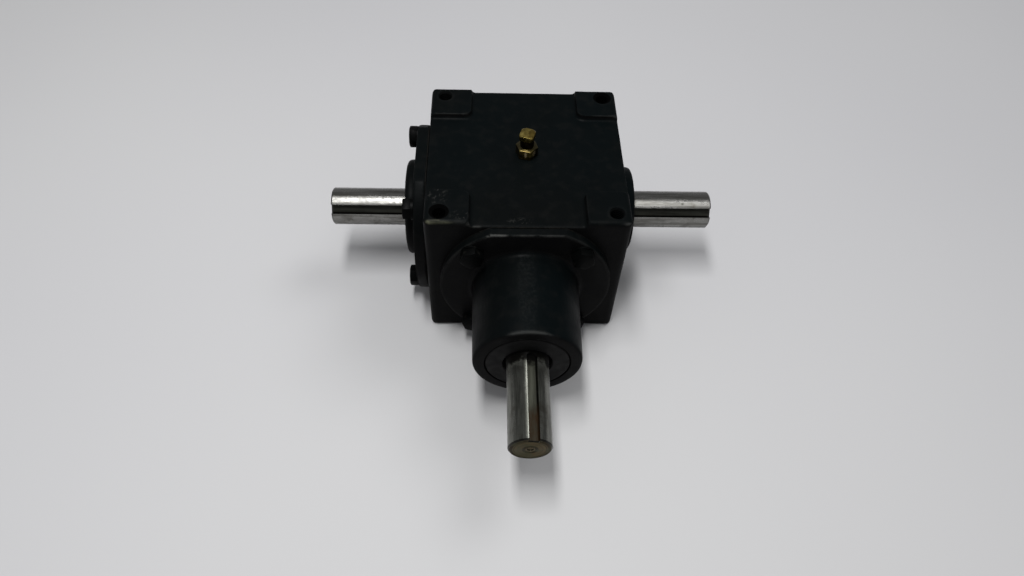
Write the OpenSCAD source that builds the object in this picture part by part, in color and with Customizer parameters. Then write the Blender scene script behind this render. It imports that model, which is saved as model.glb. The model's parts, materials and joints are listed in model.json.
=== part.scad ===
// Three-way right-angle bevel gearbox.
// Frame: +Z up, origin on the mounting plane under the crossing point of the two shafts.
// The cross shaft runs along X. The input shaft runs along Y and leaves towards -Y.

/* [Housing] */
// Width of the cast housing, along the cross shaft
housing_w = 127; // [126.5:0.5:130]
// Depth of the cast housing, along the input shaft
housing_d = 126; // [125.5:0.5:129]
// Height over the top and bottom corner pads
housing_h = 107; // [106:0.5:110]
// Height of a corner pad above the recessed face beside it
pad_rise = 3.5; // [2.5:0.5:4]
// Side length of a corner pad
pad_side = 28; // [26:0.5:30]
// Hole-to-hole distance of the square mounting pattern
mount_spacing = 107.95; // [107:0.05:108.5]
// Radius of a tapped mounting hole in the top
top_hole_r = 4.1; // [3.8:0.1:4.2]
// Radius of a tapped mounting hole in the base
base_hole_r = 4.3; // [4.3:0.1:4.6]
// Radius of the rounded outer edges of the casting
cast_r = 3; // [1.5:0.5:4]

/* [Shafts] */
// Diameter of the three shaft extensions
shaft_d = 25.4; // [25:0.1:25.5]
// Distance from the input axis to the left end of the cross shaft
cross_left = 131; // [110:1:160]
// Distance from the input axis to the right end of the cross shaft
cross_right = 130; // [110:1:160]
// Distance from the cross axis to the end of the input shaft
input_reach = 183.4; // [160:0.2:210]
// Width of the keyseats
key_w = 6.35; // [5:0.05:8]
// Depth of the keyseats below the top of the shaft
keyseat_depth = 3.6; // [2.5:0.1:4]
// Turn of the two cross shaft keyseats from straight up towards the front
cross_key_turn = 55; // [0:5:90]
// Turn of the input shaft keyseat from straight up towards the right
input_key_turn = 9; // [-45:3:45]

/* [Quill] */
// Outside diameter of the quill tube at its nose
quill_d = 66.8; // [64:0.2:68]
// Outside diameter of the quill tube at its flange
quill_base_d = 68.4; // [68:0.2:70]
// Distance from the cross axis to the nose face of the quill
quill_nose = 127.8; // [127:0.2:135]
// Diameter of the quill flange before its top and bottom are trimmed
flange_d = 109.8; // [109:0.2:112]
// Distance that the quill flange stands out from the housing
flange_t = 7; // [6:0.5:9]

/* [Left cap] */
// Diameter of the left bearing cap before its top and bottom are trimmed
cap_d = 112; // [110:0.5:114]
// Distance that the cap plate stands out from the housing
cap_t = 8; // [7:0.5:9]
// Diameter of the raised hub on the cap
cap_hub_d = 65.2; // [62:0.2:68]
// Distance from the housing to the face of the hub
cap_hub_rise = 15.8; // [15.5:0.1:18]

/* [Right boss] */
// Diameter of the cast boss around the right bearing, at its face
boss_d = 58; // [57.5:0.5:62]
// Distance from the housing to the face of the boss
boss_rise = 10.5; // [10.5:0.1:12]

/* [Gears] */
// Number of teeth on each gear of the equal pair
teeth = 20; // [20:2:22]
// Outer transverse module of the gears
gear_module = 3.5; // [3.3:0.05:3.5]
// Length of the teeth along the pitch cone
face_w = 14; // [10:0.5:14]
// Thinning of each tooth flank that leaves the backlash
flank_gap = 0.12; // [0.1:0.01:0.25]

/* [Bearings] */
// Bore diameter of the tapered roller bearings
bearing_bore = 27; // [27:0.1:27.2]
// Outside diameter of the bearing cups
bearing_od = 50.3; // [50:0.1:50.5]
// Number of rollers in each bearing
rollers = 16; // [12:1:16]

/* [Fasteners] */
// Diameter of the circle that the cap and flange screws stand on
screw_circle = 96; // [95.5:0.1:97]
// Thread diameter of the cap and flange screws
screw_d = 7.9; // [7:0.1:8]
// Width across the flats of the screw heads
screw_flats = 12.7; // [11:0.1:13]
// Height of the screw heads
screw_head_h = 5.4; // [4:0.1:6]
// Thickness of the lock washers
washer_t = 1.5; // [1:0.1:2]

/* [Breather] */
// Width across the flats of the breather body
breather_flats = 12.7; // [11:0.1:14]
// Height of the whole breather above the recessed top
breather_h = 17; // [15:0.1:20]

/* [Hidden] */
$fn = 96;

// Clearances: between pieces that sit still on each other, between pieces that turn past,
// and round a thread.
still = 0.02;
run = 0.08;
thread_fit = 0.05;
// Length by which a cutting tool passes a face.
past = 1;
// Broken edge of a machined mouth, step or spigot.
edge_break = 0.6;

// Colours of the finishes.
paint = [0.07, 0.09, 0.09];
steel = [0.72, 0.72, 0.70];
dark_steel = [0.22, 0.22, 0.23];
rubber = [0.09, 0.09, 0.09];
brass = [0.80, 0.62, 0.25];
paper = [0.45, 0.40, 0.32];

// Faces of the housing.
axis_z = housing_h / 2;
face_x = housing_w / 2;
face_y = housing_d / 2;
recess_z = housing_h - pad_rise;
corner_r = cast_r + 1.5;
wall = 9;
floor_t = 8;
chamber_r = 20;
chamber_x = face_x - wall;
chamber_y = face_y - wall;
chamber_base = pad_rise + floor_t;
chamber_top = recess_z - floor_t;
pad_corner_r = 5;
mount_hole_depth = 18;
wide_mouth_r = 6.2;
narrow_mouth_r = 4.9;
top_mouth_depth = 1.6;
base_mouth_depth = 0.4;

// Register bores, and the trimmed flats that stay level with the recessed faces.
pilot_r = 40;
flange_edge = 1;
gasket_t = 0.5;
screw_r = screw_circle / 2;
screw_depth = 16;
screw_boss_r = 8.5;
screw_boss_t = 8.5;
screw_hole_r = screw_d / 2 + 0.35;
washer_r = 7.1;
screw_reach = 13;

// Tapered roller bearing. Its own axis is +Z, from the back of the cone to the back of the cup.
cone_r = bearing_bore / 2;
cup_r = bearing_od / 2;
bearing_w = 14.2;
cup_front = 3.5;
cone_race = 11;
cup_race = 15;
roller_tilt = (cone_race + cup_race) / 2;
roller_taper = (cup_race - cone_race) / 2;
pitch_r = 18.9;
pitch_u = 7.6;
apex_u = pitch_u + pitch_r / tan(roller_tilt);
roller_u = [2.9, 12.3];
rib_r = 18.4;
rib_u = 2;
small_rib_u = 12.8;
small_rib_rise = 0.5;
cage_u = [1, 13.4];
cage_t = 1;
cage_out = 0.9;
pocket_gap = 0.12;

// Places of the bearings: the back face of each cone, measured from the crossing point.
cross_cone = face_x - 12.5;
cross_cup_back = cross_cone + bearing_w;
inner_cone = face_y - 15;
outer_cone = quill_nose - 17.8;
inner_cup_back = inner_cone + bearing_w;
outer_cup_back = outer_cone - bearing_w;
shoulder_r = 21.5;

// Shaft seal. Its own axis is +Z, from the face that shows to the inside.
seal_r = 25.4;
seal_w = 7.4;
seal_bore_w = 7.7;
seal_mouth_r = 26;
seal_land_r = 13.1;
seal_edge = 0.5;
seal_face_t = 2;
spring_r = 0.6;
spring_ring_r = 16.6;
spring_u = 5.3;

// Shaft steps.
shaft_r = shaft_d / 2;
shaft_chamfer = 1;
journal_r = cone_r - still;
gear_seat_r = 14;
centre_r = 15;
collar_r = 17.5;
collar_w = 6;
land_end = 0.6;
thread_r = 13.3;
centre_drill_r = 1.2;
centre_drill_mouth = 2.2;
centre_drill_depth = 5;
centre_cone_h = 1.7;
shaft_shoulder = 0.4;
nut_r = 18;
nut_w = 5;
spacer_r = 16;
nut_washer_t = 1;

// Bevel gears, each with its axis along +Z from the shared apex.
pitch_cone = 45;
pressure_angle = 20;
heel_r = gear_module * teeth / 2;
heel_dist = heel_r / sin(pitch_cone);
toe_dist = heel_dist - face_w;
base_cone = asin(sin(pitch_cone) * cos(pressure_angle));
tip_cone = pitch_cone + atan(gear_module / heel_dist);
root_cone = pitch_cone - atan(1.25 * gear_module / heel_dist);
rim_cone = root_cone - 1.5;
flank_steps = 3;
gear_front = 22;
gear_back = 40;
gear_hub_end = 46;
gear_web_r = 30;
gear_web_t = 3.8;
gear_hub_r = 21;
gear_nose_r = 18;
gear_nose_h = 8;

// Keys inside the gears, cross section and length.
key_h = 6.35;
gear_key_span = [26, 44];
pinion_key_span = [27, 43];
pinion_collar = [gear_hub_end, inner_cone];
ring_span = [20.6, 22];
ring_groove_t = 0.8;
ring_rise = 2.4;
input_start = 18.8;

// Breather and plugs.
port_r = 6.5;
breather_place = [0.5, 1.4];
breather_port_r = 5.2;
breather_waist_r = 4.5;
breather_spigot_r = 3;
breather_hex_h = 7;
breather_turn = -12.5;
breather_cap_t = 3.8;
breather_cap_r = 5.7;
breather_cap_side = 9.2;
breather_cap_turn = -18;
breather_socket = 1.5;
vent_r = 2;
vent_reach = 5;
plug_len = 8.6;
plug_socket = 7.9;
socket_depth = 5;
plug_inset = 0.2;
level_place = [27, axis_z];
drain_place = [0, 23];

// ---- Outlines ----

// Points of an arc, with its two ends.
function arc(cx, cy, r, a0, a1, n = 6) =
    [for (i = [0:n]) let (a = a0 + (a1 - a0) * i / n) [cx + r * cos(a), cy + r * sin(a)]];

// A rectangle about the origin with round corners.
function round_rect(w, h, r, n = 6) = concat(
    arc(w / 2 - r, h / 2 - r, r, 0, 90, n),
    arc(r - w / 2, h / 2 - r, r, 90, 180, n),
    arc(r - w / 2, r - h / 2, r, 180, 270, n),
    arc(w / 2 - r, r - h / 2, r, 270, 360, n)
);

// ---- Placing ----

// Local +Z becomes the named direction, and the local origin the crossing point of the shafts.
module to_right(u = 0) { translate([u, 0, axis_z]) rotate([0, 90, 0]) children(); }
module to_left(u = 0) { translate([-u, 0, axis_z]) rotate([0, -90, 0]) children(); }
module to_front(u = 0) { translate([0, -u, axis_z]) rotate([90, 0, 0]) children(); }
module to_back(u = 0) { translate([0, -u, axis_z]) rotate([-90, 0, 0]) children(); }

// Four copies on the diagonals of a screw circle.
module on_diagonals() {
    for (a = [45:90:315]) rotate(a) translate([screw_r, 0, 0]) children();
}

module ring(r_out, r_in, h) {
    difference() {
        cylinder(r = r_out, h = h);
        translate([0, 0, -past]) cylinder(r = r_in, h = h + 2 * past);
    }
}

// A turned piece, given as [radius, height] points.
module turned(points) { rotate_extrude() polygon(points); }

// The slab between the recessed top and bottom faces, which trims the round flanges.
module between_recesses(size = 400) {
    translate([-size / 2, -size / 2, pad_rise]) cube([size, size, recess_z - pad_rise]);
}

// ---- Housing ----

// The casting's outside as a block with every edge rounded.
module rounded_block() {
    intersection() {
        linear_extrude(housing_h) polygon(round_rect(housing_w, housing_d, corner_r));
        translate([0, face_y, axis_z]) rotate([90, 0, 0])
            linear_extrude(housing_d) polygon(round_rect(housing_w, housing_h, cast_r, 4));
        translate([-face_x, 0, axis_z]) rotate([90, 0, 90])
            linear_extrude(housing_w) polygon(round_rect(housing_d, housing_h, cast_r, 4));
    }
}

// A corner pad column with its inner corner rounded, over the full height.
module pad_columns() {
    column = 2 * pad_side;
    for (sx = [-1, 1], sy = [-1, 1])
        translate([sx * face_x, sy * face_y, 0])
            linear_extrude(housing_h) polygon(round_rect(column, column, pad_corner_r));
}

module casting_outside() {
    boss_base_r = boss_d / 2 + 1;
    fillet = 3;
    edge = 1.5;
    intersection() {
        rounded_block();
        union() {
            between_recesses();
            pad_columns();
        }
    }
    to_right() turned(concat(
        [[0, chamber_x + past], [boss_base_r + fillet, chamber_x + past]],
        [[boss_base_r + fillet, face_x]],
        arc(boss_base_r + fillet, face_x + fillet, fillet, 270, 180),
        arc(boss_d / 2 - edge, face_x + boss_rise - edge, edge, 0, 90, 4),
        [[0, face_x + boss_rise]]
    ));
}

module gear_chamber() {
    translate([0, 0, chamber_base])
        linear_extrude(chamber_top - chamber_base)
            polygon(round_rect(2 * chamber_x, 2 * chamber_y, chamber_r, 8));
}

// Thickened places inside the walls for the tapped holes of the cap and the quill.
module screw_bosses() {
    to_left(chamber_x - screw_boss_t)
        on_diagonals() cylinder(r = screw_boss_r, h = screw_boss_t + past);
    to_front(chamber_y - screw_boss_t)
        on_diagonals() cylinder(r = screw_boss_r, h = screw_boss_t + past);
}

// One blind tapped mounting hole, mouth up at z = 0.
module mounting_hole(hole_r, mouth_r, mouth_depth) {
    translate([0, 0, -mount_hole_depth]) cylinder(r = hole_r, h = mount_hole_depth + past);
    translate([0, 0, -mouth_depth]) cylinder(r1 = hole_r, r2 = mouth_r, h = mouth_depth);
    cylinder(r = mouth_r, h = past);
}

module mounting_holes() {
    half = mount_spacing / 2;
    for (sx = [-1, 1], sy = [-1, 1]) {
        mouth_r = sx == sy ? wide_mouth_r : narrow_mouth_r;
        translate([sx * half, sy * half, housing_h])
            mounting_hole(top_hole_r, mouth_r, top_mouth_depth);
        translate([sx * half, sy * half, 0]) mirror([0, 0, 1])
            mounting_hole(base_hole_r, narrow_mouth_r, base_mouth_depth);
    }
}

module bearing_bores() {
    pilot_len = wall + screw_boss_t + 2 * past;
    boss_face = face_x + boss_rise;
    seal_step = boss_face - seal_bore_w;
    to_left(chamber_x - screw_boss_t - past) cylinder(r = pilot_r, h = pilot_len);
    to_front(chamber_y - screw_boss_t - past) cylinder(r = pilot_r, h = pilot_len);
    to_right() turned([
        [0, chamber_x - past], [cup_r + still, chamber_x - past], [cup_r + still, cross_cup_back],
        [shoulder_r, cross_cup_back], [shoulder_r, seal_step], [seal_r, seal_step],
        [seal_r, boss_face - edge_break], [seal_mouth_r, boss_face],
        [seal_mouth_r, boss_face + past],
        [0, boss_face + past]
    ]);
}

module screw_holes() {
    to_left(face_x - screw_depth)
        on_diagonals() cylinder(r = screw_d / 2 + thread_fit, h = screw_depth + past);
    to_front(face_y - screw_depth)
        on_diagonals() cylinder(r = screw_d / 2 + thread_fit, h = screw_depth + past);
}

module plug_holes() {
    translate([breather_place.x, breather_place.y, chamber_top - past])
        cylinder(r = breather_port_r + thread_fit, h = floor_t + 2 * past);
    for (p = [level_place, drain_place])
        translate([p.x, face_y + past, p.y]) rotate([90, 0, 0])
            cylinder(r = port_r + thread_fit, h = wall + 2 * past);
}

module housing() {
    color(paint) difference() {
        union() {
            difference() {
                casting_outside();
                gear_chamber();
            }
            screw_bosses();
        }
        bearing_bores();
        mounting_holes();
        screw_holes();
        plug_holes();
    }
}

// ---- Left bearing cap ----

module left_cap() {
    hub_face = face_x + cap_hub_rise;
    plate_face = face_x + cap_t;
    hub_r = cap_hub_d / 2;
    fillet = 2.5;
    edge = 3;
    seal_step = hub_face - seal_bore_w;
    color(paint) difference() {
        intersection() {
            to_left() turned(concat(
                [[cup_r + still, chamber_x], [pilot_r - edge_break, chamber_x]],
                [[pilot_r - still, chamber_x + edge_break], [pilot_r - still, face_x + gasket_t]],
                [[cap_d / 2, face_x + gasket_t]],
                arc(cap_d / 2 - flange_edge, plate_face - flange_edge, flange_edge, 0, 90, 3),
                arc(hub_r + fillet, plate_face + fillet, fillet, 270, 180),
                arc(hub_r - edge, hub_face - edge, edge, 0, 90, 4),
                [[seal_mouth_r, hub_face], [seal_r, hub_face - edge_break], [seal_r, seal_step]],
                [[shoulder_r, seal_step], [shoulder_r, cross_cup_back]],
                [[cup_r + still, cross_cup_back]]
            ));
            between_recesses();
        }
        to_left(face_x) on_diagonals() cylinder(r = screw_hole_r, h = cap_t + past);
    }
}

// A flat gasket the shape of a trimmed flange, lying from z = 0.
module gasket(d) {
    difference() {
        cylinder(d = d, h = gasket_t);
        translate([0, 0, -past]) cylinder(r = pilot_r + 0.2, h = gasket_t + 2 * past);
        translate([0, 0, -past]) on_diagonals() cylinder(r = screw_hole_r, h = gasket_t + 2 * past);
    }
}

module cap_gasket() {
    color(paper) intersection() {
        to_left(face_x) gasket(cap_d - 1);
        between_recesses();
    }
}

// ---- Quill ----

module quill() {
    nose_r = quill_d / 2;
    base_r = quill_base_d / 2;
    plate_face = face_y + flange_t;
    spigot_end = inner_cone + cup_front;
    fillet = 3;
    edge = 2;
    seal_step = quill_nose - seal_bore_w;
    color(paint) difference() {
        intersection() {
            to_front() turned(concat(
                [[cup_r + still, spigot_end], [pilot_r - edge_break, spigot_end]],
                [[pilot_r - still, spigot_end + edge_break]],
                [[pilot_r - still, face_y + gasket_t], [flange_d / 2, face_y + gasket_t]],
                arc(flange_d / 2 - flange_edge, plate_face - flange_edge, flange_edge, 0, 90, 3),
                arc(base_r + fillet, plate_face + fillet, fillet, 270, 180),
                arc(nose_r - edge, quill_nose - edge, edge, 0, 90, 4),
                [[seal_mouth_r, quill_nose], [seal_r, quill_nose - edge_break]],
                [[seal_r, seal_step]],
                [[cup_r + still, seal_step], [cup_r + still, outer_cup_back]],
                [[shoulder_r, outer_cup_back], [shoulder_r, inner_cup_back]],
                [[cup_r + still, inner_cup_back]]
            ));
            between_recesses();
        }
        to_front(face_y) on_diagonals() cylinder(r = screw_hole_r, h = flange_t + past);
    }
}

module quill_gasket() {
    color(paper) intersection() {
        to_front(face_y) gasket(flange_d - 1);
        between_recesses();
    }
}

// ---- Screws and washers, standing on z = 0 ----

module hex_screw() {
    hex_r = screw_flats / 2 / cos(30);
    crown_r = screw_flats / 2 - 0.3;
    translate([0, 0, washer_t]) intersection() {
        cylinder(r = hex_r, h = screw_head_h, $fn = 6);
        cylinder(r1 = hex_r + 2 * screw_head_h, r2 = crown_r, h = screw_head_h);
    }
}

module screw_with_shank(grip) {
    hex_screw();
    translate([0, 0, -grip - screw_reach])
        cylinder(d = screw_d, h = grip + screw_reach + washer_t + past);
}

module cap_screws() {
    color(dark_steel) to_left(face_x + cap_t) on_diagonals() screw_with_shank(cap_t);
}

module cap_washers() {
    color(dark_steel) to_left(face_x + cap_t) on_diagonals() ring(washer_r, screw_hole_r, washer_t);
}

module quill_screws() {
    color(dark_steel) to_front(face_y + flange_t) on_diagonals() screw_with_shank(flange_t);
}

module quill_washers() {
    color(dark_steel) to_front(face_y + flange_t)
        on_diagonals() ring(washer_r, screw_hole_r, washer_t);
}

// ---- Shaft seals ----

// The rim and the face are a rubber-covered case. A lip with a groove for the spring hangs from it.
module seal() {
    rim_r = seal_r - still;
    rim_in = rim_r - 1.5;
    throat_r = 14.8;
    lip_r = seal_land_r + run;
    groove_r = spring_ring_r - spring_r - 0.1;
    turned([
        [rim_r, seal_edge], [rim_r - seal_edge, 0],
        [throat_r + edge_break, 0], [throat_r, edge_break], [throat_r, 1.5],
        [lip_r + 0.45, 3.4], [lip_r, 4.2], [lip_r + 0.7, 5.8],
        [groove_r - 1, 6.4], [groove_r, 6.2], [groove_r, 4.4],
        [spring_ring_r + 0.4, seal_face_t + 0.2], [rim_in, seal_face_t],
        [rim_in, seal_w], [rim_r, seal_w]
    ]);
}

module seal_spring() {
    rotate_extrude() translate([spring_ring_r, spring_u]) circle(r = spring_r, $fn = 24);
}

module at_left_seal() { to_right(-face_x - cap_hub_rise) children(); }
module at_right_seal() { to_left(-face_x - boss_rise) children(); }
module at_input_seal() { to_back(quill_nose) children(); }

module left_seal() { color(rubber) at_left_seal() seal(); }
module right_seal() { color(rubber) at_right_seal() seal(); }
module input_seal() { color(rubber) at_input_seal() seal(); }
module left_seal_spring() { color(steel) at_left_seal() seal_spring(); }
module right_seal_spring() { color(steel) at_right_seal() seal_spring(); }
module input_seal_spring() { color(steel) at_input_seal() seal_spring(); }

// ---- Tapered roller bearings ----

function race_r(u, angle) = (apex_u - u) * tan(angle);

module bearing_cup() {
    turned([
        [race_r(cup_front, cup_race), cup_front], [cup_r, cup_front],
        [cup_r, bearing_w], [race_r(bearing_w, cup_race), bearing_w]
    ]);
}

module bearing_cone() {
    small_rib_r = race_r(small_rib_u, cone_race) + small_rib_rise;
    turned([
        [cone_r, 0], [rib_r, 0], [rib_r, rib_u], [race_r(rib_u, cone_race), rib_u],
        [race_r(small_rib_u, cone_race), small_rib_u], [small_rib_r, small_rib_u],
        [small_rib_r, bearing_w], [cone_r, bearing_w]
    ]);
}

// One roller, or its pocket when it is grown, with its axis through the shared apex.
module roller(grow) {
    from = (apex_u - roller_u[0]) / cos(roller_tilt);
    to = (apex_u - roller_u[1]) / cos(roller_tilt);
    end_gap = max(grow, 0);
    translate([0, 0, apex_u]) rotate([0, 180 - roller_tilt, 0])
        translate([0, 0, to - end_gap])
            cylinder(
                r1 = to * tan(roller_taper) + grow,
                r2 = from * tan(roller_taper) + grow,
                h = from - to + 2 * end_gap,
                $fn = 48
            );
}

module roller_set(grow) {
    for (i = [0:rollers - 1]) rotate(i * 360 / rollers) roller(grow);
}

module bearing_cage() {
    wide_r = race_r(cage_u[0], roller_tilt) + cage_out;
    narrow_r = race_r(cage_u[1], roller_tilt) + cage_out;
    difference() {
        turned([
            [wide_r - cage_t / 2, cage_u[0]], [wide_r + cage_t / 2, cage_u[0]],
            [narrow_r + cage_t / 2, cage_u[1]], [narrow_r - cage_t / 2, cage_u[1]]
        ]);
        roller_set(pocket_gap);
    }
}

module at_left_bearing() { to_left(cross_cone) children(); }
module at_right_bearing() { to_right(cross_cone) children(); }
module at_inner_bearing() { to_front(inner_cone) children(); }
module at_outer_bearing() { to_back(outer_cone) children(); }

module left_cup() { color(steel) at_left_bearing() bearing_cup(); }
module right_cup() { color(steel) at_right_bearing() bearing_cup(); }
module quill_inner_cup() { color(steel) at_inner_bearing() bearing_cup(); }
module quill_outer_cup() { color(steel) at_outer_bearing() bearing_cup(); }
module left_cone() { color(steel) at_left_bearing() bearing_cone(); }
module right_cone() { color(steel) at_right_bearing() bearing_cone(); }
module quill_inner_cone() { color(steel) at_inner_bearing() bearing_cone(); }
module quill_outer_cone() { color(steel) at_outer_bearing() bearing_cone(); }
module left_rollers() { color(steel) at_left_bearing() roller_set(-run); }
module right_rollers() { color(steel) at_right_bearing() roller_set(-run); }
module quill_inner_rollers() { color(steel) at_inner_bearing() roller_set(-run); }
module quill_outer_rollers() { color(steel) at_outer_bearing() roller_set(-run); }
module left_cage() { color(steel) at_left_bearing() bearing_cage(); }
module right_cage() { color(steel) at_right_bearing() bearing_cage(); }
module quill_inner_cage() { color(steel) at_inner_bearing() bearing_cage(); }
module quill_outer_cage() { color(steel) at_outer_bearing() bearing_cage(); }

// ---- Shafts ----

// An open keyseat along +Z from z = 0, cut into the +X side, with the cutter's round run-out.
module keyseat(length, r) {
    depth_r = r - keyseat_depth;
    translate([depth_r, -key_w / 2, 0]) cube([2 * keyseat_depth, key_w, length]);
    translate([depth_r, 0, 0]) rotate([0, 90, 0]) cylinder(d = key_w, h = 2 * keyseat_depth);
}

// A centre-drill mark in an end face that looks along +Z at z = 0.
module centre_mark() {
    translate([0, 0, -centre_drill_depth])
        cylinder(r = centre_drill_r, h = centre_drill_depth + past, $fn = 32);
    translate([0, 0, -centre_cone_h])
        cylinder(r1 = centre_drill_r, r2 = centre_drill_mouth, h = centre_cone_h);
}

module cross_shaft() {
    left_land = face_x + cap_hub_rise - land_end;
    right_land = face_x + boss_rise - land_end;
    left_key = left_land + key_w / 2;
    right_key = right_land + key_w / 2;
    color(steel) difference() {
        to_right() turned([
            [0, -cross_left], [shaft_r - shaft_chamfer, -cross_left],
            [shaft_r, shaft_chamfer - cross_left], [shaft_r, -left_land],
            [seal_land_r, land_end - left_land], [seal_land_r, -cross_cup_back - 1],
            [journal_r, -cross_cup_back - 1], [journal_r, -cross_cone], [centre_r, -cross_cone],
            [centre_r, gear_front - collar_w], [collar_r, gear_front - collar_w],
            [collar_r, gear_front], [gear_seat_r - still, gear_front],
            [gear_seat_r - still, cross_cone], [journal_r, cross_cone],
            [journal_r, cross_cup_back + shaft_shoulder],
            [seal_land_r, cross_cup_back + shaft_shoulder],
            [seal_land_r, right_land - land_end], [shaft_r, right_land],
            [shaft_r, cross_right - shaft_chamfer], [shaft_r - shaft_chamfer, cross_right],
            [0, cross_right]
        ]);
        translate([-left_key, 0, axis_z]) rotate([cross_key_turn, 0, 0]) rotate([0, -90, 0])
            keyseat(cross_left, shaft_r);
        translate([right_key, 0, axis_z]) rotate([cross_key_turn, 0, 0]) rotate([0, 90, 0])
            rotate(180) keyseat(cross_right, shaft_r);
        translate([-cross_left, 0, axis_z]) rotate([0, -90, 0]) centre_mark();
        translate([cross_right, 0, axis_z]) rotate([0, 90, 0]) centre_mark();
        key_block(gear_key_span, gear_seat_r, still);
    }
}

module input_shaft() {
    nose_land = quill_nose - land_end;
    nut_end = outer_cone + nut_washer_t + nut_w + edge_break;
    seat_r = shaft_r - still;
    groove_r = seat_r - ring_groove_t;
    groove_start = ring_span[0] - run;
    key_start = nose_land + key_w / 2;
    color(steel) difference() {
        to_front() turned([
            [0, input_start], [seat_r - edge_break, input_start],
            [seat_r, input_start + edge_break],
            [seat_r, groove_start], [groove_r, groove_start],
            [groove_r, ring_span[1]], [seat_r, ring_span[1]], [seat_r, pinion_collar[0]],
            [collar_r - 1, pinion_collar[0]], [collar_r - 1, pinion_collar[1]],
            [journal_r, pinion_collar[1]], [journal_r, outer_cone], [thread_r, outer_cone],
            [thread_r, nut_end], [seal_land_r, nut_end], [seal_land_r, nose_land - land_end],
            [shaft_r, nose_land], [shaft_r, input_reach - shaft_chamfer],
            [shaft_r - shaft_chamfer, input_reach], [0, input_reach]
        ]);
        translate([0, -key_start, axis_z]) rotate([0, input_key_turn, 0]) rotate([90, 0, 0])
            rotate(90) keyseat(input_reach, shaft_r);
        translate([0, -input_reach, axis_z]) rotate([90, 0, 0]) centre_mark();
        pinion_key_block(still);
    }
}

// ---- Bevel gear pair ----

// Azimuth that a spherical involute has unwound at a polar angle outside the base cone.
function unwind(t) =
    acos(min(1, cos(t) / cos(base_cone))) / sin(base_cone) - acos(min(1, tan(base_cone) / tan(t)));
// Half the angle that a tooth spans at a polar angle.
function half_tooth(t) =
    90 / teeth - flank_gap / heel_r * 180 / PI + unwind(pitch_cone) - unwind(max(t, base_cone));
// Polar angles along one flank, from the root to the tip.
flank = concat(
    [root_cone],
    [for (i = [0:flank_steps]) base_cone + (tip_cone - base_cone) * i / flank_steps]
);
// One tooth as [polar angle, azimuth] pairs, up one flank and down the other.
tooth = concat(
    [for (t = flank) [t, -half_tooth(t)]],
    [for (i = [len(flank) - 1:-1:0]) [flank[i], half_tooth(flank[i])]]
);
// A point at a cone distance that is measured square to the pitch cone.
function cone_point(dist, t, a) =
    let (r = dist / cos(t - pitch_cone)) [r * sin(t) * cos(a), r * sin(t) * sin(a), r * cos(t)];

module toothed_ring() {
    pairs = [for (i = [0:teeth - 1], p = tooth) [p[0], p[1] + i * 360 / teeth]];
    n = len(pairs);
    rings = [[heel_dist, false], [heel_dist, true], [toe_dist, true], [toe_dist, false]];
    points = concat(
        [for (g = rings, p = pairs) cone_point(g[0], g[1] ? p[0] : rim_cone, p[1])],
        [for (dist = [heel_dist, toe_dist]) [0, 0, cone_point(dist, rim_cone, 0).z]]
    );
    heel_centre = len(rings) * n;
    toe_start = heel_centre - n;
    faces = concat(
        [for (g = [0:len(rings) - 2], i = [0:n - 1]) let (j = (i + 1) % n)
            [g * n + i, g * n + j, (g + 1) * n + j]],
        [for (g = [0:len(rings) - 2], i = [0:n - 1]) let (j = (i + 1) % n)
            [g * n + i, (g + 1) * n + j, (g + 1) * n + i]],
        [for (i = [0:n - 1]) [heel_centre, (i + 1) % n, i]],
        [for (i = [0:n - 1]) [heel_centre + 1, toe_start + i, toe_start + (i + 1) % n]]
    );
    polyhedron(points, faces);
}

module gear_body(bore_r) {
    hub_len = gear_hub_end - gear_back;
    bore_len = gear_hub_end - gear_front;
    difference() {
        union() {
            toothed_ring();
            translate([0, 0, gear_front]) cylinder(r = gear_nose_r, h = gear_nose_h);
            translate([0, 0, gear_back - gear_web_t]) cylinder(r = gear_web_r, h = gear_web_t);
            translate([0, 0, gear_back - past]) cylinder(r = gear_hub_r, h = hub_len + past);
        }
        translate([0, 0, gear_front - past]) cylinder(r = bore_r, h = bore_len + 2 * past);
    }
}

// Keyways run right through a gear; the keys fill only their own length.
module bevel_gear() {
    color(steel) difference() {
        to_right() gear_body(gear_seat_r);
        key_block([gear_front - past, gear_hub_end + past], gear_seat_r, still);
    }
}

module bevel_pinion() {
    color(steel) difference() {
        to_front() rotate(180 / teeth) gear_body(shaft_r);
        pinion_key_slot([gear_front - past, gear_hub_end + past], still);
    }
}

// Square keys that lie half in the shaft and half in the gear, on its upper side.
module key_block(span, r, grow) {
    w = key_w / 2 + grow;
    h = key_h / 2 + grow;
    translate([span[0] - grow, -w, axis_z + r - h])
        cube([span[1] - span[0] + 2 * grow, 2 * w, 2 * h]);
}

module pinion_key_slot(span, grow) {
    w = key_w / 2 + grow;
    h = key_h / 2 + grow;
    translate([-w, -span[1] - grow, axis_z + shaft_r - h])
        cube([2 * w, span[1] - span[0] + 2 * grow, 2 * h]);
}

module pinion_key_block(grow) { pinion_key_slot(pinion_key_span, grow); }

module gear_key() { color(dark_steel) key_block(gear_key_span, gear_seat_r, 0); }
module pinion_key() { color(dark_steel) pinion_key_block(0); }

// ---- Small turned pieces on the shafts ----

module gear_spacer() {
    color(steel) to_right(gear_hub_end) ring(gear_nose_r, gear_seat_r, cross_cone - gear_hub_end);
}

module pinion_retaining_ring() {
    width = ring_span[1] - ring_span[0] - run;
    gap_half = 4;
    gap_end = 20;
    color(dark_steel) to_front(ring_span[0]) difference() {
        ring(shaft_r + ring_rise, shaft_r - ring_groove_t + thread_fit, width);
        translate([0, 0, -past]) linear_extrude(width + 2 * past)
            polygon([[0, 0], [gap_half, -gap_end], [-gap_half, -gap_end]]);
    }
}

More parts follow.
